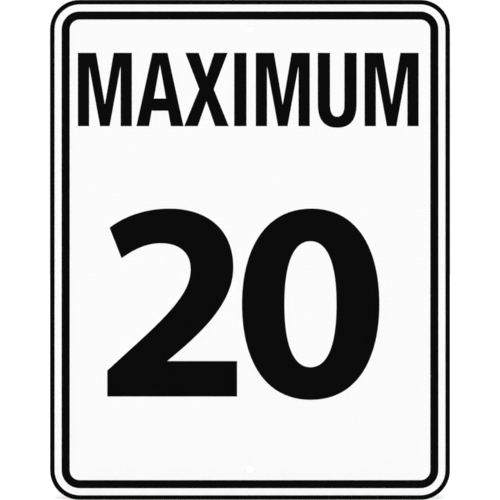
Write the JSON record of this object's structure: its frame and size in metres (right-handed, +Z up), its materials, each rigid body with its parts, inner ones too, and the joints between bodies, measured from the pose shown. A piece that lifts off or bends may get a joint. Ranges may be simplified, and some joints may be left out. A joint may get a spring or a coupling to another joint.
{
  "type": "speed limit sign",
  "caption": "Flat upright rectangular road sign plate with rounded corners, a white face, a black edge line and border line, and bolt holes on its centre line for a post.",
  "frame": {"origin": "middle of the back face, half way between the two bolt holes", "axes": "+Z up along the sign's height, +X across its width, +Y out of the back toward the post, so the face looks toward -Y"},
  "size_m": [0.6, 0.0024, 0.75],
  "materials": {
    "aluminium_blank": "mill finish",
    "white_sheeting": "retroreflective film",
    "black_film": "satin film"
  },
  "bodies": {
    "root": {"sign_blank": "aluminium_blank", "white_sheeting": "white_sheeting", "rim_line": "black_film", "border_line": "black_film"}
  },
  "joints": []
}
